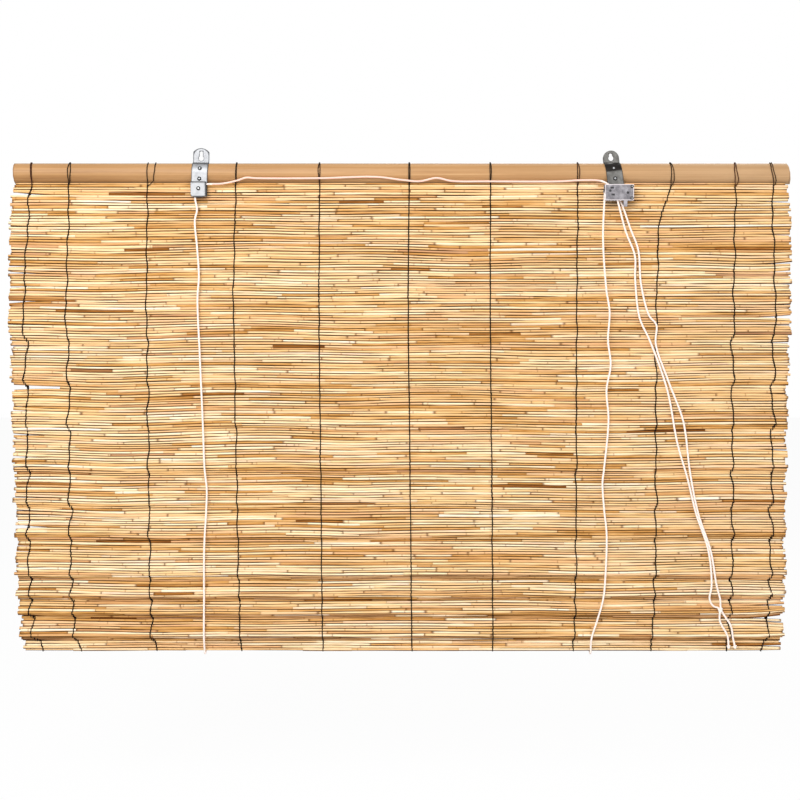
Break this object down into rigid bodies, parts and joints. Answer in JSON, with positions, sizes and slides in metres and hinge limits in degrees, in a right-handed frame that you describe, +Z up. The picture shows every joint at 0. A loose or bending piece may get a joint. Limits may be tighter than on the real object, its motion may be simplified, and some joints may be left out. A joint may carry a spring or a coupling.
{
  "type": "reed roll up blind",
  "caption": "Roll-up window blind: a mat of thin reeds bound with dark thread under a split-bamboo headrail, hung on keyhole straps and raised by cords that run over a pulley and a cord lock.",
  "frame": {"origin": "midway between the two hanger keyholes, on the plane of the wall", "axes": "+X to the right seen from the room, +Y into the wall, +Z up"},
  "size_m": [1.212, 0.0297, 0.7931],
  "materials": {
    "bamboo": "varnished split bamboo, honey coloured, fine grain along its length",
    "reed": "natural dried reed, straw coloured, from pale cream to brown",
    "warp_thread": "twisted black-brown cotton thread",
    "bright_steel": "bright zinc-plated sheet",
    "dark_steel": "dull dark plated sheet",
    "lock_steel": "grey zinc-plated sheet",
    "screw_steel": "plain plated steel",
    "wheel_steel": "turned steel",
    "cord": "braided off-white cotton"
  },
  "bodies": {
    "blind": {"headrail": "bamboo", "reed_mat": "reed", "warp_thread_01": "warp_thread", "warp_thread_02": "warp_thread", "warp_thread_03": "warp_thread", "warp_thread_04": "warp_thread", "warp_thread_05": "warp_thread", "warp_thread_06": "warp_thread", "warp_thread_07": "warp_thread", "warp_thread_08": "warp_thread", "warp_thread_09": "warp_thread", "warp_thread_10": "warp_thread", "warp_thread_11": "warp_thread", "hanger_strap_left": "bright_steel", "hanger_strap_right": "dark_steel", "hanger_screws": "screw_steel", "pulley_cover": "bright_steel", "pulley_pin": "bright_steel", "lock_back_plate": "lock_steel", "lock_front_cover": "lock_steel", "sheave_axle": "screw_steel", "pawl_pin": "screw_steel", "lock_rivets": "screw_steel", "strap_rivets": "screw_steel", "left_cord": "cord", "right_cord": "cord", "stopper_knots": "cord", "pull_knot": "cord", "tail_knots": "cord"},
    "pulley": {"pulley_wheel": "wheel_steel"},
    "rear_sheave": {"lock_rear_sheave": "wheel_steel"},
    "front_sheave": {"lock_front_sheave": "wheel_steel"},
    "pawl": {"locking_pawl": "lock_steel"}
  },
  "joints": [
    {"name": "rear_sheave_spin", "type": "hinge", "parent": "blind", "child": "rear_sheave", "pos_m": [0.313, -0.0196, -0.0527], "axis": [0, 1, 0], "continuous": true},
    {"name": "front_sheave_spin", "type": "hinge", "parent": "blind", "child": "front_sheave", "pos_m": [0.313, -0.025, -0.0527], "axis": [0, 1, 0], "continuous": true},
    {"name": "pulley_spin", "type": "hinge", "parent": "blind", "child": "pulley", "pos_m": [-0.31969, -0.0184, -0.0485], "axis": [0, 1, 0], "continuous": true},
    {"name": "pawl_swing", "type": "hinge", "parent": "blind", "child": "pawl", "pos_m": [0.34, -0.0223, -0.0558], "axis": [0, 1, 0], "range_deg": [-25, 0]}
  ],
  "couplings": [
    {"joint": "front_sheave_spin", "follows": "rear_sheave_spin", "ratio": 1},
    {"joint": "pulley_spin", "follows": "rear_sheave_spin", "ratio": 1.1692}
  ]
}
